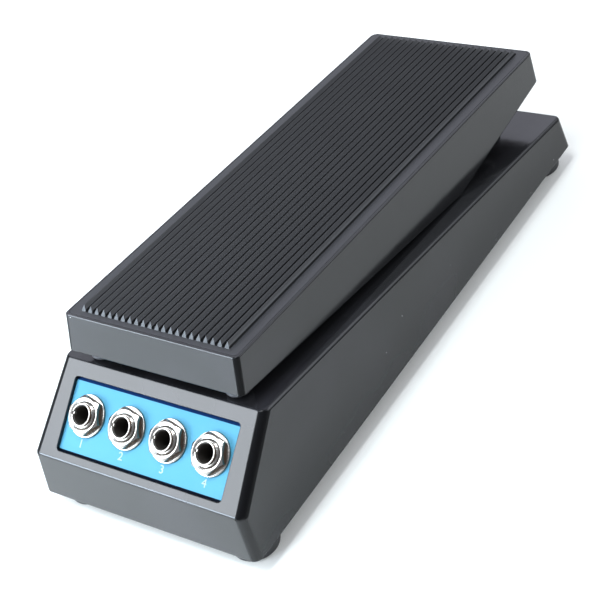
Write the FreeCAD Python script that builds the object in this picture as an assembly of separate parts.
"""Volume pedal: a rocking treadle on a drafted base, four jacks on a sloping front panel.

Frame: X across the pedal, +Y from the toe end (jack panel) to the heel end, +Z up.
The origin is on the floor under the middle of the overall length. All sizes are in mm.
While it is built, everything lies on a bench where Y = 0 is the front lower edge of the
housing; save() moves each node to the origin.
"""
import FreeCAD, Part
import math
import os
from FreeCAD import Vector

# ------------------------------------------------------------------ base housing
base_length = 237.9        # along the lower edge
base_width = 97.8          # across the lower edge
base_lift = 7.5            # lower edge above the floor, and so the height of the feet
band_height = 18.8         # upright band under the jack panel
panel_length = 36.1        # jack panel, measured up its slope
panel_slope = 39.2
top_slope = 7.4            # the top falls towards the heel
draft = 5.0                # all upright walls lean in
wall = 2.5
crease_r = 1.6             # between the band and the panel
front_corner_r = 3.2
rear_corner_r = 3.0
top_edge_r = 1.2
rib_wall = 1.6             # frame ribs inside the housing
rib_depth = 5.0
rib_count = 6
rib_first = 62.0           # from the front edge
rib_last = 210.0

# ------------------------------------------------------------------ bottom cover and feet
cover_wall = 2.0
cover_rim = 1.2            # housing wall left outside the cover
cover_gap = 0.2
cover_corner_r = 4.0
foot_r = 8.75
foot_edge_r = 1.5
foot_in_side = 11.5        # foot centre from the side edge
foot_in_front = 12.0
foot_in_rear = 9.8
foot_well_r = 3.6          # well for the screw head
foot_well_depth = 4.0
boss_r = 4.0
front_boss_height = 14.5   # short enough to pass under the jacks
middle_boss_in = 10.5      # from the side edge
middle_boss_y = 128.0

# ------------------------------------------------------------------ screws
screw_r = 1.5
pilot_gap = 0.05           # thread and pilot hole
screw_hole_gap = 0.25
head_r = 2.8
head_height = 1.8
head_round = 0.8
drive_width = 0.7          # cross recess
drive_depth = 0.8
screw_point = 1.0
screw_end_gap = 0.5        # thread stops this far from the end of its pilot
screw_bite = 9.0           # length below the head
small_screw_bite = 6.0

# ------------------------------------------------------------------ jack panel
recess_width = 74.4
recess_height = 27.3
recess_depth = 2.1
recess_low = 3.2           # lower edge of the recess above the crease
recess_corner_r = 1.5
tray_wall = 2.2            # floor of the recess
plate_wall = 0.8
plate_gap = 0.15
jack_count = 4
jack_pitch = 18.6
jack_up = 17.8             # jack centres above the crease, up the slope
thread_r = 4.7
thread_gap = 0.2
bore_r = 3.25              # takes a 6.35 mm plug
lip_r = 4.1                # reduced end of the sleeve
lip_height = 0.9
sleeve_rise = 4.3          # sleeve end above the plate
sleeve_flange_r = 6.3
sleeve_flange_wall = 1.2
lip_chamfer = 0.3
notch_width = 1.2
notch_depth = 1.3
notch_reach = 0.5          # into the bore's wall from the outside of the bore
washer_r = 7.75
washer_wall = 0.8
washer_chamfer = 0.25
nut_flats = 12.7
nut_height = 2.4
nut_chamfer = 30.0         # slope of the turned-off corners
nut_face_in = 0.1          # flat face inside the flats
jack_body_width = 13.4
jack_body_height = 15.0
jack_body_depth = 21.8
jack_body_edge_r = 0.8
jack_cavity_r = 4.3
contact_wall = 0.4
contact_width = 3.0
contact_bow = 0.9
contact_slot_gap = 0.1
jack_end_wall = 2.0
board_wall = 1.6
board_below = 6.0          # board edge below the jack centres
board_above = 14.0
board_margin = 1.5

# ------------------------------------------------------------------ treadle
treadle_length = 207.9
treadle_width = 77.0
treadle_tilt = 4.9         # toe end up, at rest
treadle_setback = 32.3     # top toe edge behind the front of the housing
treadle_toe_height = 68.7  # top toe edge above the floor
treadle_draft = 2.0
toe_skirt = 13.9
toe_skirt_lean = 2.9
heel_skirt = 13.0
heel_skirt_lean = 1.1
skirt_point = 139.3        # lowest point of the skirt, from the toe edge
skirt_gap = 0.6            # lowest point of the skirt over the housing
treadle_wall = 2.2
treadle_plate = 3.2
treadle_toe_r = 2.0
treadle_heel_r = 3.0
treadle_edge_r = 0.5
treadle_rib_wall = 1.8
treadle_rib_depth = 5.5
treadle_rib_x = 13.0

# ------------------------------------------------------------------ tread mat
mat_rim = 1.1              # treadle edge left round the mat
mat_sunk = 1.3
mat_gap = 0.1
mat_corner_r = 1.6
tread_rib_count = 22
tread_rib_pitch = 3.03
tread_rib_base = 2.35
tread_rib_height = 2.1
tread_rib_end = 1.3        # crest set back from the foot of a rib at both ends
tread_rib_toe_margin = 3.4
tread_rib_heel_margin = 3.6

# ------------------------------------------------------------------ pivot
pivot_lift = 9.0           # pivot axis over the housing top
shaft_r = 3.0
shaft_seat_gap = 0.02
lug_x = 21.5
lug_wall = 5.0
lug_r = 6.5
lug_foot = 24.0
bush_wall = 1.5
bush_run_gap = 0.05
bush_seat_gap = 0.02
bush_flange_r = 6.4
bush_flange_wall = 1.1
bush_side_gap = 0.2
pivot_rib_wall = 4.0
pivot_rib_r = 7.4
clip_wall = 0.8
clip_r = 5.2
clip_gap = 0.4
groove_depth = 0.5
clip_slack = 0.05
clip_mouth = 4.1           # opening of the clip
shaft_end = 1.2            # shaft past the clip
shaft_chamfer = 0.4
pivot_ear_half = 16.0      # ear at the treadle's underside, either side of the pivot

# ------------------------------------------------------------------ travel and stops
travel = 12.0              # toe down to heel down
toe_stop_r = 4.7
toe_stop_height = 9.15
toe_stop_in_side = 8.2     # stop centre from the treadle's side
toe_stop_s = 5.0           # behind the toe edge
toe_stop_round = 1.8
toe_stop_spigot_r = 1.8
toe_stop_spigot = 1.8
toe_stop_wall = 1.0        # seat round the stop
spigot_end_gap = 0.3
heel_stop_x = 24.0
heel_stop_y = 214.0
heel_stop_r = 6.5
heel_stop_wall = 2.5
heel_stop_round = 0.6
heel_post_r = 3.6
stop_gap = 0.25

# ------------------------------------------------------------------ quadrant, pinion and potentiometer
module = 0.8
quadrant_teeth = 150       # on the full circle
pinion_teeth = 15
pressure_angle = 20.0
backlash = 0.16
tip_factor = 0.9
root_factor = 1.2
flank_steps = 4            # straight steps that follow an involute flank
mesh_angle = 14.5          # pinion below the level of the pivot
quadrant_wall = 5.0
quadrant_web = 8.0         # below the tooth roots
quadrant_spare = 3.0       # teeth past each end of the travel, degrees
quadrant_slot_gap = 1.2
flange_width = 21.0
flange_length = 15.0
flange_wall = 2.4
flange_screw_x = 7.0
pilot_end = 0.4            # treadle left above the flange screws' pilots
pinion_width = 7.0
pinion_hub_r = 4.6
pinion_hub = 2.0
pot_shaft_r = 3.0
pot_run_gap = 0.05
pot_press_gap = 0.02
pot_shaft_end = 0.5        # shaft past the pinion
pot_bush_r = 3.9
pot_bush_gap = 0.8         # pinion hub to bushing
pot_bush_rise = 3.2        # bushing in front of the bracket
pot_nut_flats = 10.0
pot_nut_height = 2.0
pot_washer_r = 5.6
pot_washer_wall = 0.5
pot_can_r = 8.0
pot_can_depth = 7.0
pot_waist_r = 6.5
pot_waist_depth = 1.2
pot_tag_wall = 0.8
pot_tag_width = 1.2
pot_tag_pitch = 3.0
pot_tag_reach = 6.0
bracket_wall = 1.2
bracket_half = 11.5
bracket_drop = 10.5        # plate below the potentiometer axis
bracket_reach = 17.0
bracket_screw_y = 8.6      # either side of the potentiometer
bracket_screw_x = 9.5      # from the face of the bracket
bracket_over_can = 1.0
bracket_bend_r = 1.1
bracket_boss_r = 3.4

# ------------------------------------------------------------------ signal lead
lead_r = 1.4
lead_x = 15.0
lead_on_board = 8.0        # above the jack centres, up the slope
lead_drop = 9.0            # straight run out of the board
lead_gap = 0.3             # solder between the lead and the tags
lead_turn_y = 70.0
lead_turn_z = 16.5

# ------------------------------------------------------------------ making
root_in = 0.5              # ribs, bosses and ears run this far into the wall that carries them
past = 10.0                # cutting forms run this far past an edge
board_past = 4.0           # boss web stops this far under the boss's top

# ------------------------------------------------------------------ values worked out from these
cos_panel = math.cos(math.radians(panel_slope))
sin_panel = math.sin(math.radians(panel_slope))
tan_top = math.tan(math.radians(top_slope))
cos_top = math.cos(math.radians(top_slope))
tan_draft = math.tan(math.radians(draft))
cos_draft = math.cos(math.radians(draft))
cos_tilt = math.cos(math.radians(treadle_tilt))
sin_tilt = math.sin(math.radians(treadle_tilt))
crease_y = band_height * tan_draft
crease_z = base_lift + band_height
panel_top_y = crease_y + panel_length * cos_panel
panel_top_z = crease_z + panel_length * sin_panel
cover_top = base_lift + cover_wall
FAR = 400.0                # longer than any part


def housing_top(y):
    """Height of the housing's top surface at a place along the pedal."""
    return panel_top_z - (y - panel_top_y) * tan_top


def tread_point(s, depth):
    """Bench (y, z) of a point s behind the toe edge and this deep below the tread."""
    return (treadle_setback + s * cos_tilt - depth * sin_tilt,
            treadle_toe_height - s * sin_tilt - depth * cos_tilt)


def depth_to_housing(s, gap):
    """Depth below the tread, s behind the toe edge, of a point this far over the housing top."""
    y0, z0 = tread_point(s, 0)
    return (z0 - housing_top(y0) - gap) / (cos_tilt + sin_tilt * tan_top)


skirt_depth = depth_to_housing(skirt_point, skirt_gap)
toe_stop_x = treadle_width / 2 - toe_stop_in_side
toe_stop_lean = toe_stop_r * math.sin(math.radians(top_slope - treadle_tilt)) / 2
toe_stop_sink = depth_to_housing(toe_stop_s, 0) - toe_stop_height - stop_gap - toe_stop_lean
pivot_y = tread_point(skirt_point, skirt_depth)[0]
pivot_z = housing_top(pivot_y) + pivot_lift
quadrant_r = module * quadrant_teeth / 2
pinion_r = module * pinion_teeth / 2
gear_centres = quadrant_r + pinion_r
pot_y = pivot_y - gear_centres * math.cos(math.radians(mesh_angle))
pot_z = pivot_z - gear_centres * math.sin(math.radians(mesh_angle))
overall_length = max(base_length, tread_point(treadle_length + heel_skirt_lean, heel_skirt)[0],
                     tread_point(treadle_length, 0)[0])
lug_outer = lug_x + lug_wall
pivot_rib_x = lug_outer + bush_side_gap + bush_flange_wall
clip_x = pivot_rib_x + pivot_rib_wall + clip_gap
shaft_half = clip_x + clip_wall + shaft_end
bush_r = shaft_r + bush_run_gap + bush_wall
pinion_face = pinion_width / 2 + pinion_hub
bracket_x = pinion_face + pot_bush_gap + pot_bush_rise
can_x = bracket_x + bracket_wall
bracket_top = pot_z + pot_can_r + bracket_over_can + bracket_wall
foot_x = base_width / 2 - foot_in_side
foot_places = [(side * foot_x, y) for y in (foot_in_front, base_length - foot_in_rear)
               for side in (-1, 1)]
middle_places = [(side * (base_width / 2 - middle_boss_in), middle_boss_y) for side in (-1, 1)]
jack_places = [(i - (jack_count - 1) / 2) * jack_pitch for i in range(jack_count)]


# ================================================================== helpers
def across(points, x0, x1):
    """Solid whose (y, z) outline runs across the pedal from x0 to x1."""
    corners = [Vector(x0, y, z) for y, z in points]
    return Part.Face(Part.makePolygon(corners + corners[:1])).extrude(Vector(x1 - x0, 0, 0))


def moved_in(points, steps):
    """Outline with edge i (from corner i to i + 1) moved inward by steps[i]."""
    count = len(points)
    area = sum(points[i][0] * points[(i + 1) % count][1]
               - points[(i + 1) % count][0] * points[i][1] for i in range(count))
    turn = 1 if area > 0 else -1
    lines = []
    for i in range(count):
        (ya, za), (yb, zb) = points[i], points[(i + 1) % count]
        size = math.hypot(yb - ya, zb - za)
        dy, dz = (yb - ya) / size, (zb - za) / size
        lines.append((ya - turn * dz * steps[i], za + turn * dy * steps[i], dy, dz))
    corners = []
    for i in range(count):
        ya, za, da, ea = lines[i - 1]
        yb, zb, db, eb = lines[i]
        along = ((yb - ya) * eb - (zb - za) * db) / (da * eb - ea * db)
        corners.append((ya + along * da, za + along * ea))
    return corners


def tube(outer, inner, height):
    """Ring standing on the XY plane."""
    return Part.makeCylinder(outer, height).cut(Part.makeCylinder(inner, height))


def hexagon(flats, height):
    """Hexagonal bar standing on the XY plane, with its corners turned off at the top."""
    corner = flats / math.sqrt(3)
    points = [Vector(corner * math.cos(math.radians(60 * i)),
                     corner * math.sin(math.radians(60 * i)), 0) for i in range(6)]
    bar = Part.Face(Part.makePolygon(points + points[:1])).extrude(Vector(0, 0, height))
    top = flats / 2 - nut_face_in
    return bar.common(Part.makeCone(top + height / math.tan(math.radians(nut_chamfer)), top, height))


def rounded_plate(width, length, height, radius):
    """Plate with rounded corners, centred on Z and standing on the XY plane."""
    plate = Part.makeBox(width, length, height, Vector(-width / 2, -length / 2, 0))
    return plate.makeFillet(radius, edges_where(plate, lambda e: upright(e)))


def edges_where(shape, test):
    return [edge for edge in shape.Edges if test(edge)]


def upright(edge):
    ends = [vertex.Point for vertex in edge.Vertexes]
    return len(ends) == 2 and abs(ends[0].z - ends[1].z) > 0.9 * edge.Length


def screw(bite, radius=screw_r):
    """Pan-head screw, head down, its shank rising from the XY plane."""
    head = Part.makeCylinder(head_r, head_height, Vector(0, 0, -head_height))
    head = head.makeFillet(head_round, edges_where(head, lambda e: e.BoundBox.ZMax < -head_height / 2))
    slot = Part.makeBox(head_r, drive_width, drive_depth,
                        Vector(-head_r / 2, -drive_width / 2, -head_height))
    cross = slot.copy()
    cross.rotate(Vector(), Vector(0, 0, 1), 90)
    point = Part.makeCone(radius, radius / 2, screw_point, Vector(0, 0, bite - screw_point))
    shank = Part.makeCylinder(radius, bite - screw_point)
    return head.fuse([shank, point]).cut([slot, cross]).removeSplitter()


def at(shape, x, y, z):
    shape.translate(Vector(x, y, z))
    return shape


def on_panel(shape, x, up, out):
    """Place a shape made about the Z axis on the jack panel, Z pointing out of it."""
    shape.rotate(Vector(), Vector(1, 0, 0), panel_slope)
    return at(shape, x, crease_y + up * cos_panel - out * sin_panel,
              crease_z + up * sin_panel + out * cos_panel)


def on_treadle(shape):
    """Place a shape made in the treadle's own frame: Y behind the toe edge, Z above the tread."""
    shape.rotate(Vector(), Vector(1, 0, 0), -treadle_tilt)
    return at(shape, 0, treadle_setback, treadle_toe_height)


def on_axis_x(shape, x, y, z):
    """Lay a shape made up the Z axis along +X, starting at x."""
    shape.rotate(Vector(), Vector(0, 1, 0), 90)
    return at(shape, x, y, z)


def save(name, shape):
    """Move a node from the bench to the origin of the part and write it."""
    shape = shape.copy()
    shape.translate(Vector(0, -overall_length / 2, 0))
    shape.exportStep(os.path.join("parts", name + ".step"))
    box = shape.BoundBox
    print("%-20s solids %2d volume %9.1f valid %s  y %.1f..%.1f z %.1f..%.1f" % (
        name, len(shape.Solids), shape.Volume, shape.isValid(), box.YMin, box.YMax, box.ZMin, box.ZMax))


# ================================================================== base housing
def housing_outline():
    """Side view of the housing, from the front lower edge round by the top."""
    heel_y = (base_length - (panel_top_z + panel_top_y * tan_top - base_lift) * tan_draft) / (
        1 - tan_top * tan_draft)
    return [(0, base_lift), (crease_y, crease_z), (panel_top_y, panel_top_z),
            (heel_y, housing_top(heel_y)), (base_length, base_lift)]


def housing_block(step, drop):
    """The housing's form with every wall and the top moved in by step, and the floor lowered."""
    outline = moved_in(housing_outline(), [step, step, step, step, -drop])
    half = base_width / 2 - step / cos_draft
    low, high = base_lift - drop, panel_top_z
    ends = [Vector(-half - drop * tan_draft, 0, low), Vector(half + drop * tan_draft, 0, low),
            Vector(half - (high - base_lift) * tan_draft, 0, high),
            Vector(-half + (high - base_lift) * tan_draft, 0, high)]
    front_view = Part.Face(Part.makePolygon(ends + ends[:1])).extrude(Vector(0, FAR, 0))
    return across(outline, -base_width, base_width).common(at(front_view, 0, -FAR / 4, 0))


def housing_form():
    """Outside of the housing, with its corners and top edge rounded."""
    block = housing_block(0, 0)
    crease = edges_where(block, lambda e: abs(e.CenterOfMass.x) < 1
                         and abs(e.CenterOfMass.z - crease_z) < 0.1)
    block = block.makeFillet(crease_r, crease)
    corners = edges_where(block, lambda e: abs(e.CenterOfMass.x) > base_width / 4
                          and e.CenterOfMass.y < panel_top_y - 0.1
                          and abs(e.CenterOfMass.z - base_lift) > 0.1)
    block = block.makeFillet(front_corner_r, corners)
    rear = edges_where(block, lambda e: e.CenterOfMass.y > base_length - past
                       and upright(e))
    block = block.makeFillet(rear_corner_r, rear)
    top = max((face for face in block.Faces if face.normalAt(0, 0).z > 0.9), key=lambda f: f.Area)
    return block.makeFillet(top_edge_r, top.Edges)


def housing_ribs():
    """Frame ribs that stiffen the top and both sides from inside."""
    band = housing_block(wall - root_in, 0).cut(housing_block(wall + rib_depth, past))
    spacing = (rib_last - rib_first) / (rib_count - 1)
    slabs = [Part.makeBox(base_width, rib_wall, FAR,
                          Vector(-base_width / 2, rib_first + i * spacing - rib_wall / 2, cover_top))
             for i in range(rib_count)]
    return band.common(Part.makeCompound(slabs))


def housing_bosses(form):
    """Screw bosses for the cover, for the feet and for the potentiometer bracket."""
    bosses = []
    for x, y in foot_places[:2]:
        bosses.append(Part.makeCylinder(boss_r, front_boss_height, Vector(x, y, cover_top)))
        web = base_width / 2 - abs(x)
        start = x if x > 0 else x - web
        bosses.append(Part.makeBox(web, rib_wall, front_boss_height,
                                   Vector(start, y - rib_wall / 2, cover_top)))
        bosses.append(Part.makeBox(rib_wall, y, front_boss_height - board_past,
                                   Vector(x - rib_wall / 2, 0, cover_top)))
    for x, y in foot_places[2:] + middle_places:
        bosses.append(Part.makeCylinder(boss_r, FAR, Vector(x, y, cover_top)))
    for side in (-1, 1):
        bosses.append(Part.makeCylinder(bracket_boss_r, FAR, Vector(
            bracket_x + bracket_screw_x, pot_y + side * bracket_screw_y, bracket_top)))
    return [boss.common(form) for boss in bosses]


def tangent_from(point, centre, radius, side):
    """Where a line from a point touches a circle."""
    dy, dz = centre[0] - point[0], centre[1] - point[1]
    reach = math.hypot(dy, dz)
    angle = math.atan2(dz, dy) + side * math.asin(radius / reach)
    length = math.sqrt(reach * reach - radius * radius)
    return point[0] + length * math.cos(angle), point[1] + length * math.sin(angle)


def ear(foot_front, foot_rear, radius, x0, x1):
    """Ear that runs from two foot corners to a round end about the pivot."""
    centre = (pivot_y, pivot_z)
    side = -1 if foot_front[1] > pivot_z else 1
    front = tangent_from(foot_front, centre, radius, side)
    rear = tangent_from(foot_rear, centre, radius, -side)
    body = across([foot_front, front, rear, foot_rear], x0, x1)
    return body.fuse(on_axis_x(Part.makeCylinder(radius, x1 - x0), x0, pivot_y, pivot_z))


def pivot_lugs():
    """Two lugs on the housing top that hold the pivot shaft."""
    front, rear = pivot_y - lug_foot / 2, pivot_y + lug_foot / 2
    corners = [(y, housing_top(y) - wall / 2) for y in (front, rear)]
    return [ear(corners[0], corners[1], lug_r, x, x + lug_wall) for x in (lug_x, -lug_outer)]


def base_housing():
    form = housing_form()
    body = form.cut(housing_block(wall, past))
    tray = rounded_plate(recess_width + 2 * wall, recess_height + 2 * wall,
                         recess_depth + tray_wall, recess_corner_r + wall)
    recess_up = recess_low + recess_height / 2
    tray = on_panel(tray, 0, recess_up, -recess_depth - tray_wall).common(form)
    body = body.fuse([tray] + [housing_ribs()] + housing_bosses(form) + pivot_lugs())
    cuts = [on_panel(rounded_plate(recess_width, recess_height, FAR, recess_corner_r),
                     0, recess_up, -recess_depth)]
    cuts += [on_panel(Part.makeCylinder(thread_r + thread_gap, 2 * wall + tray_wall),
                      x, jack_up, -recess_depth - tray_wall - wall) for x in jack_places]
    slot_half = quadrant_wall / 2 + quadrant_slot_gap
    slot_front = pivot_y - quadrant_r - module * tip_factor - quadrant_slot_gap
    slot_rear = pivot_y - quadrant_inner_r() + quadrant_slot_gap
    cuts.append(Part.makeBox(2 * slot_half, slot_rear - slot_front, FAR,
                             Vector(-slot_half, slot_front, cover_top)))
    cuts.append(cover_form(0, cover_rim, base_lift - past, cover_wall + past))
    for x, y in foot_places + middle_places:
        cuts.append(Part.makeCylinder(screw_r - pilot_gap, screw_bite, Vector(x, y, cover_top)))
    for side in (-1, 1):
        cuts.append(Part.makeCylinder(screw_r + pilot_gap, small_screw_bite, Vector(
            bracket_x + bracket_screw_x, pot_y + side * bracket_screw_y,
            bracket_top - bracket_wall)))
    cuts.append(on_axis_x(Part.makeCylinder(shaft_r + shaft_seat_gap, FAR), -FAR / 2, pivot_y, pivot_z))
    return body.cut(cuts).removeSplitter()


def cover_form(gap, rim, z, height):
    """Outline of the bottom cover as a plate, held in from the housing's edge."""
    plate = rounded_plate(base_width - 2 * (rim + gap), base_length - 2 * (rim + gap), height,
                          cover_corner_r)
    return at(plate, 0, base_length / 2, z)


def bottom_cover():
    cover = cover_form(cover_gap, cover_rim, base_lift, cover_wall)
    holes = [Part.makeCylinder(screw_r + screw_hole_gap, cover_wall, Vector(x, y, base_lift))
             for x, y in foot_places + middle_places]
    return cover.cut(holes)


def foot(x, y):
    """Rubber foot with a rounded tread and a well for its screw."""
    pad = Part.makeCylinder(foot_r, base_lift)
    pad = pad.makeFillet(foot_edge_r, edges_where(pad, lambda e: e.BoundBox.ZMax < 0.1))
    well = Part.makeCylinder(foot_well_r, foot_well_depth)
    hole = Part.makeCylinder(screw_r + screw_hole_gap, base_lift)
    return at(pad.cut([well, hole]), x, y, 0)


# ================================================================== jacks
def jack_plate():
    plate = rounded_plate(recess_width - 2 * plate_gap, recess_height - 2 * plate_gap, plate_wall,
                          recess_corner_r)
    plate = on_panel(plate, 0, recess_low + recess_height / 2, -recess_depth)
    return plate.cut([on_panel(Part.makeCylinder(thread_r + thread_gap, 2 * wall), x, jack_up,
                               -recess_depth - wall) for x in jack_places])


def on_jack(shape, x):
    """Place a shape on a jack's axis, with its Z = 0 on the face of the jack plate."""
    return on_panel(shape, x, jack_up, plate_wall - recess_depth)


def jack_sleeve(x):
    """Threaded sleeve with a reduced lip, a rear flange and a small keying notch."""
    back = -plate_wall - tray_wall
    sleeve = Part.makeCylinder(thread_r, sleeve_rise - lip_height - back, Vector(0, 0, back))
    lip = Part.makeCylinder(lip_r, lip_height, Vector(0, 0, sleeve_rise - lip_height))
    lip = lip.makeChamfer(lip_chamfer, edges_where(lip, lambda e: e.BoundBox.ZMin > sleeve_rise - 0.1))
    flange = Part.makeCylinder(sleeve_flange_r, sleeve_flange_wall,
                               Vector(0, 0, back - sleeve_flange_wall))
    bore = Part.makeCylinder(bore_r, FAR, Vector(0, 0, -FAR / 2))
    notch = Part.makeBox(lip_r, notch_width, notch_depth,
                         Vector(-bore_r - lip_r + notch_reach, -notch_width / 2,
                                sleeve_rise - notch_depth))
    return on_jack(sleeve.fuse([lip, flange]).removeSplitter().cut([bore, notch]), x)


def jack_washer(x):
    washer = tube(washer_r, thread_r + thread_gap, washer_wall)
    rim = edges_where(washer, lambda e: e.BoundBox.ZMin > washer_wall / 2
                      and e.BoundBox.XMax > washer_r - 0.1)
    return on_jack(washer.makeChamfer(washer_chamfer, rim), x)


def jack_nut(x):
    nut = hexagon(nut_flats, nut_height).cut(Part.makeCylinder(thread_r + thread_gap, nut_height))
    return on_jack(at(nut, 0, 0, washer_wall), x)


def jack_body(x):
    """Moulded jack body, open at the sleeve, with a channel for the tip contact."""
    rear = jack_front() - jack_body_depth
    body = Part.makeBox(jack_body_width, jack_body_height, jack_body_depth,
                        Vector(-jack_body_width / 2, -jack_body_height / 2, rear))
    body = body.makeFillet(jack_body_edge_r, edges_where(body, upright))
    cavity = Part.makeCylinder(jack_cavity_r, jack_body_depth, Vector(0, 0, rear + jack_end_wall))
    half = contact_width / 2 + contact_slot_gap
    floor = math.sqrt(jack_cavity_r ** 2 - half ** 2)
    top = jack_cavity_r + contact_wall + contact_slot_gap
    channel = Part.makeBox(2 * half, top - floor, jack_body_depth, Vector(-half, floor, rear))
    return on_jack(body.cut([cavity, channel]), x)


def jack_front():
    """Where the jack body starts, behind the face of the jack plate."""
    return -plate_wall - tray_wall - sleeve_flange_wall


def jack_contact(x):
    """Tip spring: a leaf down the channel, bowed towards the plug."""
    rear = jack_front() - jack_body_depth
    y, low = jack_cavity_r, jack_cavity_r - contact_bow
    length = jack_body_depth - 2 * jack_end_wall
    points = [(rear, y), (rear + 0.2 * length, y), (rear + 0.5 * length, low),
              (rear + 0.7 * length, low), (rear + length, y)]
    upper = [(z, h + contact_wall) for z, h in reversed(points)]
    corners = [Vector(-contact_width / 2, h, z) for z, h in points + upper]
    leaf = Part.Face(Part.makePolygon(corners + corners[:1])).extrude(Vector(contact_width, 0, 0))
    return on_jack(leaf, x)


def jack_board():
    """Circuit board behind the jack bodies."""
    width = (jack_count - 1) * jack_pitch + jack_body_width + 2 * board_margin
    board = Part.makeBox(width, board_below + board_above, board_wall,
                         Vector(-width / 2, -board_below, -board_wall))
    return on_jack(at(board, 0, 0, jack_front() - jack_body_depth), 0)


# ================================================================== treadle
def treadle_outline():
    """Side view of the treadle in its own frame, from the top toe edge round by the heel."""
    return [(0, 0), (treadle_length, 0), (treadle_length + heel_skirt_lean, -heel_skirt),
            (skirt_point, -skirt_depth), (-toe_skirt_lean, -toe_skirt)]


def treadle_block(step, top_step, drop):
    """The treadle's form with its walls moved in, its top lowered and its lower edges dropped."""
    outline = moved_in(treadle_outline(), [top_step, step, -drop, -drop, step])
    tan_side = math.tan(math.radians(treadle_draft))
    half = treadle_width / 2 - step
    low = skirt_depth + past + drop
    ends = [Vector(-half, 0, 0), Vector(half, 0, 0), Vector(half + low * tan_side, 0, -low),
            Vector(-half - low * tan_side, 0, -low)]
    front_view = Part.Face(Part.makePolygon(ends + ends[:1])).extrude(Vector(0, FAR, 0))
    return across(outline, -treadle_width, treadle_width).common(at(front_view, 0, -FAR / 4, 0))


def treadle_form():
    block = treadle_block(0, 0, 0)
    toe = edges_where(block, lambda e: e.CenterOfMass.y < 1 and abs(e.CenterOfMass.x) > past)
    block = block.makeFillet(treadle_toe_r, toe)
    heel = edges_where(block, lambda e: e.CenterOfMass.y > treadle_length - 1
                       and abs(e.CenterOfMass.x) > past)
    block = block.makeFillet(treadle_heel_r, heel)
    top = max((face for face in block.Faces if face.normalAt(0, 0).z > 0.9), key=lambda f: f.Area)
    return block.makeFillet(treadle_edge_r, top.Edges)


def in_treadle(y, z):
    """A bench (y, z) place as (s, height) in the treadle's own frame."""
    dy, dz = y - treadle_setback, z - treadle_toe_height
    return dy * cos_tilt - dz * sin_tilt, dy * sin_tilt + dz * cos_tilt


def heel_post_centre():
    """Centre of the heel post's round end, in the treadle's frame, at rest."""
    reach = heel_stop_wall + heel_post_r + stop_gap
    y = heel_stop_y + reach * math.sin(math.radians(top_slope))
    z = housing_top(heel_stop_y) + reach * cos_top
    dy, dz = y - pivot_y, z - pivot_z
    turn = math.radians(travel)
    return in_treadle(pivot_y + dy * math.cos(turn) - dz * math.sin(turn),
                      pivot_z + dy * math.sin(turn) + dz * math.cos(turn))


def flange_s():
    """Middle of the quadrant's flange behind the toe edge."""
    angle = math.asin((treadle_under(pivot_y - quadrant_r) - pivot_z) / quadrant_r)
    middle = (quadrant_r + quadrant_inner_r()) / 2
    return in_treadle(pivot_y - middle * math.cos(angle), pivot_z + middle * math.sin(angle))[0]


def treadle_under(y):
    """Height of the underside of the treadle's top at a place along the pedal."""
    s = (y - treadle_setback + treadle_plate * sin_tilt) / cos_tilt
    return tread_point(s, treadle_plate)[1]


def treadle_ribs():
    """Two long ribs and three cross ribs under the top, open where the quadrant is screwed on."""
    low = -treadle_plate - treadle_rib_depth
    ribs = [Part.makeBox(treadle_rib_wall, treadle_length - 2 * treadle_wall,
                         treadle_rib_depth + root_in,
                         Vector(side * treadle_rib_x - treadle_rib_wall / 2, treadle_wall, low))
            for side in (-1, 1)]
    gap = flange_length
    for s in (flange_s() - 2 * gap, flange_s() + gap, skirt_point + 2 * gap):
        ribs.append(Part.makeBox(treadle_width - 2 * treadle_wall, treadle_rib_wall,
                                 treadle_rib_depth + root_in,
                                 Vector(-treadle_width / 2 + treadle_wall, s, low)))
    return ribs


def treadle_shell():
    form = treadle_form()
    shell = form.cut(treadle_block(treadle_wall, treadle_plate, past))
    adds = treadle_ribs()
    post_s, post_height = heel_post_centre()
    for side in (-1, 1):
        adds.append(Part.makeCylinder(toe_stop_r + toe_stop_wall, toe_stop_sink - treadle_plate + root_in,
                                      Vector(side * toe_stop_x, toe_stop_s, -toe_stop_sink)))
        adds.append(Part.makeCylinder(heel_post_r, -post_height - treadle_plate + root_in,
                                      Vector(side * heel_stop_x, post_s, post_height)))
        adds.append(Part.makeSphere(heel_post_r, Vector(side * heel_stop_x, post_s, post_height)))
    shell = shell.fuse([add.common(form) for add in adds])
    mat_seat = rounded_plate(treadle_width - 2 * mat_rim, treadle_length - 2 * mat_rim, FAR,
                             mat_corner_r)
    cuts = [at(mat_seat, 0, treadle_length / 2, -mat_sunk)]
    for side in (-1, 1):
        cuts.append(Part.makeCylinder(toe_stop_spigot_r + mat_gap, toe_stop_spigot + spigot_end_gap,
                                      Vector(side * toe_stop_x, toe_stop_s, -toe_stop_sink)))
    shell = on_treadle(shell.cut(cuts))
    front, rear = [tread_point(skirt_point + side * pivot_ear_half, treadle_plate - root_in)
                   for side in (-1, 1)]
    ears = [ear(front, rear, pivot_rib_r, x, x + pivot_rib_wall)
            for x in (pivot_rib_x, -pivot_rib_x - pivot_rib_wall)]
    cuts = [on_axis_x(Part.makeCylinder(bush_r + bush_seat_gap, FAR / 2), -FAR / 4, pivot_y, pivot_z)
            .common(Part.makeBox(2 * (pivot_rib_x + pivot_rib_wall), FAR, FAR,
                                 Vector(-pivot_rib_x - pivot_rib_wall, 0, 0)))]
    for x, y, z in flange_screw_places():
        hole = Part.makeCylinder(screw_r + pilot_gap, treadle_plate - mat_sunk - pilot_end)
        hole.rotate(Vector(), Vector(1, 0, 0), -treadle_tilt)
        cuts.append(at(hole, x, y, z))
    return shell.fuse(ears).cut(cuts).removeSplitter()


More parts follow.
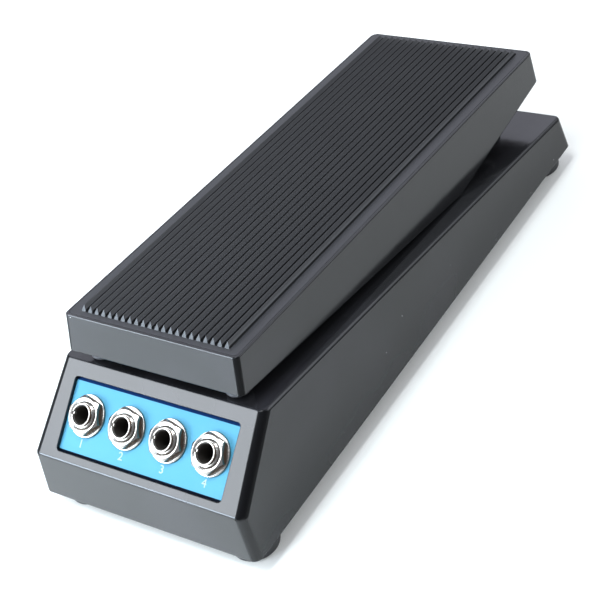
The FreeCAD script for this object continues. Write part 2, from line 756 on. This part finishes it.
def tread_mat():
    """Rubber mat with long ribs of triangular section."""
    mat = rounded_plate(treadle_width - 2 * (mat_rim + mat_gap), treadle_length - 2 * (mat_rim + mat_gap),
                        mat_sunk, mat_corner_r)
    mat = at(mat, 0, treadle_length / 2, -mat_sunk)
    toe, heel = tread_rib_toe_margin, treadle_length - tread_rib_heel_margin
    ends = across([(toe, -mat_gap), (toe, 0), (toe + tread_rib_end, tread_rib_height),
                   (heel - tread_rib_end, tread_rib_height), (heel, 0), (heel, -mat_gap)],
                  -treadle_width / 2, treadle_width / 2)
    ribs = []
    for i in range(tread_rib_count):
        x = (i - (tread_rib_count - 1) / 2) * tread_rib_pitch
        points = [Vector(x - tread_rib_base / 2, toe, -mat_gap), Vector(x - tread_rib_base / 2, toe, 0),
                  Vector(x, toe, tread_rib_height), Vector(x + tread_rib_base / 2, toe, 0),
                  Vector(x + tread_rib_base / 2, toe, -mat_gap)]
        rib = Part.Face(Part.makePolygon(points + points[:1])).extrude(Vector(0, heel - toe, 0))
        ribs.append(rib.common(ends))
    return on_treadle(mat.fuse(ribs).removeSplitter())


def toe_stop(side):
    """Rubber stop under the toe end: it stands on the housing top at rest."""
    stop = Part.makeCylinder(toe_stop_r, toe_stop_height, Vector(0, 0, -toe_stop_height))
    tread = edges_where(stop, lambda e: e.BoundBox.ZMax < -toe_stop_height / 2)
    stop = stop.makeFillet(toe_stop_round, tread)
    stop = stop.fuse(Part.makeCylinder(toe_stop_spigot_r, toe_stop_spigot)).removeSplitter()
    return on_treadle(at(stop, side * toe_stop_x, toe_stop_s, -toe_stop_sink))


def heel_stop(side):
    """Rubber pad on the housing top that the heel post lands on."""
    pad = Part.makeCylinder(heel_stop_r, heel_stop_wall)
    pad = pad.makeFillet(heel_stop_round,
                         edges_where(pad, lambda e: e.BoundBox.ZMin > heel_stop_wall / 2))
    pad.rotate(Vector(), Vector(1, 0, 0), -top_slope)
    return at(pad, side * heel_stop_x, heel_stop_y, housing_top(heel_stop_y))


# ================================================================== pivot
def pivot_shaft():
    shaft = Part.makeCylinder(shaft_r, 2 * shaft_half)
    shaft = shaft.makeChamfer(shaft_chamfer, edges_where(shaft, lambda e: len(e.Vertexes) == 1))
    grooves = []
    for start in (shaft_half + clip_x - clip_slack, shaft_half - clip_x - clip_wall - clip_slack):
        grooves.append(at(tube(shaft_r + 1, shaft_r - groove_depth, clip_wall + 2 * clip_slack),
                          0, 0, start))
    return on_axis_x(shaft.cut(grooves), -shaft_half, pivot_y, pivot_z)


def pivot_bush(side):
    """Flanged bush pressed into the treadle's ear, running on the shaft."""
    bush = Part.makeCylinder(bush_r, pivot_rib_wall).fuse(
        Part.makeCylinder(bush_flange_r, bush_flange_wall, Vector(0, 0, -bush_flange_wall)))
    bush = bush.removeSplitter().cut(Part.makeCylinder(shaft_r + bush_run_gap, FAR, Vector(0, 0, -FAR / 2)))
    bush = on_axis_x(bush, pivot_rib_x, 0, 0)
    if side < 0:
        bush = bush.mirror(Vector(), Vector(1, 0, 0))
    return at(bush, 0, pivot_y, pivot_z)


def pivot_clips():
    """Spring clips in the grooves at both ends of the shaft."""
    inner = shaft_r - groove_depth + clip_slack
    clips = []
    for x in (clip_x, -clip_x - clip_wall):
        clip = tube(clip_r, inner, clip_wall)
        mouth = Part.makeBox(clip_r, clip_mouth, clip_wall, Vector(0, -clip_mouth / 2, 0))
        clips.append(on_axis_x(clip.cut(mouth), x, pivot_y, pivot_z))
    return Part.makeCompound(clips)


# ================================================================== quadrant and pinion
def tooth_half_angle(radius, pitch_r, teeth):
    """Half the angle that a tooth fills at a radius, for involute flanks."""
    base_r = pitch_r * math.cos(math.radians(pressure_angle))

    def involute(r):
        roll = math.sqrt(max((r / base_r) ** 2 - 1, 0))
        return roll - math.atan(roll)

    half = math.pi / (2 * teeth) - backlash / (4 * pitch_r)
    return half + involute(pitch_r) - involute(max(radius, base_r))


def toothed_edge(pitch_r, teeth, angles):
    """Points (radius, angle) along teeth that stand at the given angles, in order."""
    root = pitch_r - module * root_factor
    tip = pitch_r + module * tip_factor
    start = max(root, pitch_r * math.cos(math.radians(pressure_angle)))
    radii = [start + (tip - start) * i / flank_steps for i in range(flank_steps + 1)]
    edge = []
    for angle in angles:
        rising = [(r, angle - tooth_half_angle(r, pitch_r, teeth)) for r in radii]
        falling = [(r, angle + tooth_half_angle(r, pitch_r, teeth)) for r in reversed(radii)]
        edge += [(root, rising[0][1])] + rising + falling + [(root, falling[-1][1])]
    return edge


def quadrant_inner_r():
    return quadrant_r - module * root_factor - quadrant_web


def about_pivot(radius, angle):
    """Point at a radius from the pivot, at an angle below level on the toe side."""
    return Vector(0, pivot_y - radius * math.cos(angle), pivot_z - radius * math.sin(angle))


def quadrant():
    """Toothed quadrant about the pivot, screwed under the treadle."""
    step = 2 * math.pi / quadrant_teeth
    mesh = math.radians(mesh_angle)
    spare = math.radians(quadrant_spare)
    before = int(spare / step)
    after = int((math.radians(travel) + spare) / step)
    edge = toothed_edge(quadrant_r, quadrant_teeth,
                        [mesh + i * step for i in range(-before, after + 1)])
    root, inner = quadrant_r - module * root_factor, quadrant_inner_r()
    top = -math.asin((treadle_under(pivot_y - inner) - pivot_z) / inner) - root_in / inner
    low = edge[-1][1] + step / 4
    teeth = Part.makePolygon([about_pivot(r, a) for r, a in edge])
    arm = Part.Arc(about_pivot(root, top), about_pivot(root, (top + edge[0][1]) / 2),
                   about_pivot(root, edge[0][1])).toShape()
    tail = Part.makePolygon([about_pivot(root, edge[-1][1]), about_pivot(root, low),
                             about_pivot(inner, low)])
    back = Part.Arc(about_pivot(inner, low), about_pivot(inner, (top + low) / 2),
                    about_pivot(inner, top)).toShape()
    close = Part.makePolygon([about_pivot(inner, top), about_pivot(root, top)])
    outline = Part.Wire([arm] + teeth.Edges + tail.Edges + [back] + close.Edges)
    web = Part.Face(outline).extrude(Vector(quadrant_wall, 0, 0))
    web = at(web, -quadrant_wall / 2, 0, 0)
    below = Part.makeBox(FAR, FAR, FAR, Vector(-FAR / 2, -FAR / 2, -FAR - treadle_plate))
    web = web.common(on_treadle(below))
    flange = Part.makeBox(flange_width, flange_length, flange_wall,
                          Vector(-flange_width / 2, flange_s() - flange_length / 2,
                                 -treadle_plate - flange_wall))
    body = web.fuse(on_treadle(flange)).removeSplitter()
    holes = []
    for x, y, z in flange_screw_places():
        hole = Part.makeCylinder(screw_r + screw_hole_gap, 2 * flange_wall, Vector(0, 0, -2 * flange_wall))
        hole.rotate(Vector(), Vector(1, 0, 0), -treadle_tilt)
        holes.append(at(hole, x, y, z))
    return body.cut(holes)


def flange_screw_places():
    """Where the quadrant's screws enter the underside of the treadle's top."""
    y, z = tread_point(flange_s(), treadle_plate)
    return [(side * flange_screw_x, y, z) for side in (-1, 1)]


def quadrant_screws():
    screws = []
    for x, y, z in flange_screw_places():
        one = at(screw(flange_wall + treadle_plate - mat_sunk - screw_end_gap), 0, 0, -flange_wall)
        one.rotate(Vector(), Vector(1, 0, 0), -treadle_tilt)
        screws.append(at(one, x, y, z))
    return Part.makeCompound(screws)


def pinion():
    """Pinion on the potentiometer shaft, with a gap of its teeth facing the quadrant."""
    step = 2 * math.pi / pinion_teeth
    toward = math.radians(mesh_angle)
    edge = toothed_edge(pinion_r, pinion_teeth, [toward + (i + 0.5) * step for i in range(pinion_teeth)])
    points = [Vector(r * math.cos(a), r * math.sin(a), 0) for r, a in edge]
    wheel = Part.Face(Part.makePolygon(points + points[:1])).extrude(Vector(0, 0, pinion_width))
    hub = Part.makeCylinder(pinion_hub_r, pinion_hub, Vector(0, 0, pinion_width))
    body = wheel.fuse(hub).cut(Part.makeCylinder(pot_shaft_r + pot_press_gap, 2 * pinion_width))
    body.rotate(Vector(), Vector(0, 0, 1), 90)
    body.rotate(Vector(), Vector(0, 1, 0), 90)
    return at(body, -pinion_width / 2, pot_y, pot_z)


def pot_shaft():
    start = -pinion_width / 2 - pot_shaft_end
    length = can_x + pot_can_depth - start
    return on_axis_x(Part.makeCylinder(pot_shaft_r, length), start, pot_y, pot_z)


def pot_case():
    """Two-gang potentiometer with its threaded bushing."""
    bush = Part.makeCylinder(pot_bush_r, pot_bush_rise + bracket_wall)
    first = Part.makeCylinder(pot_can_r, pot_can_depth, Vector(0, 0, pot_bush_rise + bracket_wall))
    waist = Part.makeCylinder(pot_waist_r, pot_waist_depth,
                              Vector(0, 0, pot_bush_rise + bracket_wall + pot_can_depth))
    second = Part.makeCylinder(pot_can_r, pot_can_depth, Vector(
        0, 0, pot_bush_rise + bracket_wall + pot_can_depth + pot_waist_depth))
    hole = Part.makeCylinder(pot_shaft_r + pot_run_gap,
                             pot_bush_rise + bracket_wall + pot_can_depth + 2 * pot_run_gap)
    return on_axis_x(bush.fuse([first, waist, second]).cut(hole).removeSplitter(),
                     bracket_x - pot_bush_rise, pot_y, pot_z)


def pot_tags():
    """Solder tags on the toe side of both gangs."""
    tags = []
    for gang in (0, 1):
        x = can_x + gang * (pot_can_depth + pot_waist_depth) + pot_can_depth / 2
        for row in (-1, 0, 1):
            z = pot_z + row * pot_tag_pitch
            near = max(abs(row) * pot_tag_pitch - pot_tag_width / 2, 0)
            start = pot_y - math.sqrt(pot_can_r ** 2 - near ** 2)
            tags.append(Part.makeBox(pot_tag_wall, pot_tag_reach, pot_tag_width,
                                     Vector(x - pot_tag_wall / 2, start - pot_tag_reach,
                                            z - pot_tag_width / 2)))
    return Part.makeCompound(tags)


def pot_nut():
    nut = hexagon(pot_nut_flats, pot_nut_height).cut(
        Part.makeCylinder(pot_bush_r + pot_run_gap, pot_nut_height))
    return on_axis_x(nut, bracket_x - pot_washer_wall - pot_nut_height, pot_y, pot_z)


def pot_washer():
    return on_axis_x(tube(pot_washer_r, pot_bush_r + pot_run_gap, pot_washer_wall),
                     bracket_x - pot_washer_wall, pot_y, pot_z)


def pot_bracket():
    """Folded steel bracket: an upright plate for the potentiometer and a flange for two screws."""
    plate = Part.makeBox(bracket_wall, 2 * bracket_half, bracket_top - pot_z + bracket_drop,
                         Vector(bracket_x, pot_y - bracket_half, pot_z - bracket_drop))
    flange = Part.makeBox(bracket_reach, 2 * bracket_half, bracket_wall,
                          Vector(bracket_x, pot_y - bracket_half, bracket_top - bracket_wall))
    body = plate.fuse(flange).removeSplitter()
    bend = edges_where(body, lambda e: abs(e.CenterOfMass.x - bracket_x) < 0.01
                       and abs(e.CenterOfMass.z - bracket_top) < 0.01)
    body = body.makeFillet(bracket_bend_r, bend)
    holes = [on_axis_x(Part.makeCylinder(pot_bush_r + pot_run_gap, bracket_x + past), 0, pot_y, pot_z)]
    for side in (-1, 1):
        holes.append(Part.makeCylinder(screw_r + screw_hole_gap, 3 * bracket_wall, Vector(
            bracket_x + bracket_screw_x, pot_y + side * bracket_screw_y, bracket_top - 2 * bracket_wall)))
    return body.cut(holes)


def bracket_screws():
    return Part.makeCompound([at(screw(small_screw_bite - screw_end_gap), bracket_x + bracket_screw_x,
                                 pot_y + side * bracket_screw_y, bracket_top - bracket_wall)
                              for side in (-1, 1)])


def cover_screws():
    return Part.makeCompound([at(screw(screw_bite - screw_end_gap, screw_r - 2 * pilot_gap), x, y, base_lift)
                              for x, y in middle_places])


def foot_screws():
    bite = base_lift - foot_well_depth + cover_wall + screw_bite - 2 * screw_end_gap
    return Part.makeCompound([at(screw(bite, screw_r - 2 * pilot_gap), x, y, foot_well_depth)
                              for x, y in foot_places])


# ================================================================== signal lead
def bent_tube(points, radius):
    """Tube along straight runs joined by tangent arcs as large as the runs allow."""
    edges, start, trims = [], points[0], []
    for before, here, after in zip(points, points[1:], points[2:]):
        into, out = (here - before), (after - here)
        turn = into.getAngle(out)
        trim = 0.45 * min(into.Length, out.Length)
        bend_r = trim / math.tan(turn / 2)
        into.normalize()
        out.normalize()
        enter, leave = here - into * trim, here + out * trim
        inward = (out - into)
        inward.normalize()
        centre_reach = bend_r / math.cos(turn / 2)
        middle = here + inward * (centre_reach - bend_r)
        edges += [Part.LineSegment(start, enter).toShape(), Part.Arc(enter, middle, leave).toShape()]
        trims.append(round(bend_r, 1))
        start = leave
    edges.append(Part.LineSegment(start, points[-1]).toShape())
    print("lead bend radii", trims)
    path = Part.Wire(edges)
    ring = Part.Wire([Part.makeCircle(radius, points[0], points[1] - points[0])])
    return path.makePipeShell([ring], True, True)


def signal_lead():
    """Screened lead from the potentiometer's tags to the jack board."""
    out = plate_wall - recess_depth + jack_front() - jack_body_depth - board_wall
    up = jack_up + lead_on_board

    def on_board(depth):
        reach = out - depth
        return Vector(lead_x, crease_y + up * cos_panel - reach * sin_panel,
                      crease_z + up * sin_panel + reach * cos_panel)

    start = Vector(lead_x, pot_y - pot_can_r - pot_tag_reach - lead_gap, pot_z)
    return bent_tube([start, Vector(lead_x, lead_turn_y, lead_turn_z), on_board(lead_drop), on_board(0)],
                     lead_r)


# ================================================================== the whole pedal
def build():
    os.makedirs("parts", exist_ok=True)
    save("base_housing", base_housing())
    save("bottom_cover", bottom_cover())
    for name, (x, y) in zip(("front_left", "front_right", "rear_left", "rear_right"), foot_places):
        save("foot_" + name, foot(x, y))
    save("foot_screws", foot_screws())
    save("cover_screws", cover_screws())
    save("jack_plate", jack_plate())
    for number, x in enumerate(jack_places, 1):
        save("jack_sleeve_%d" % number, jack_sleeve(x))
        save("jack_washer_%d" % number, jack_washer(x))
        save("jack_nut_%d" % number, jack_nut(x))
        save("jack_body_%d" % number, jack_body(x))
        save("jack_contact_%d" % number, jack_contact(x))
    save("jack_board", jack_board())
    save("pivot_shaft", pivot_shaft())
    save("pivot_clips", pivot_clips())
    save("pot_case", pot_case())
    save("pot_tags", pot_tags())
    save("pot_nut", pot_nut())
    save("pot_washer", pot_washer())
    save("pot_bracket", pot_bracket())
    save("bracket_screws", bracket_screws())
    save("signal_lead", signal_lead())
    for name, side in (("left", -1), ("right", 1)):
        save("heel_stop_" + name, heel_stop(side))
        save("toe_stop_" + name, toe_stop(side))
        save("pivot_bush_" + name, pivot_bush(side))
    save("treadle_shell", treadle_shell())
    save("tread_mat", tread_mat())
    save("quadrant", quadrant())
    save("quadrant_screws", quadrant_screws())
    save("pinion", pinion())
    save("pot_shaft", pot_shaft())
    print("overall length %.2f pivot y %.2f z %.2f pot y %.2f z %.2f" % (
        overall_length, pivot_y - overall_length / 2, pivot_z, pot_y - overall_length / 2, pot_z))


build()
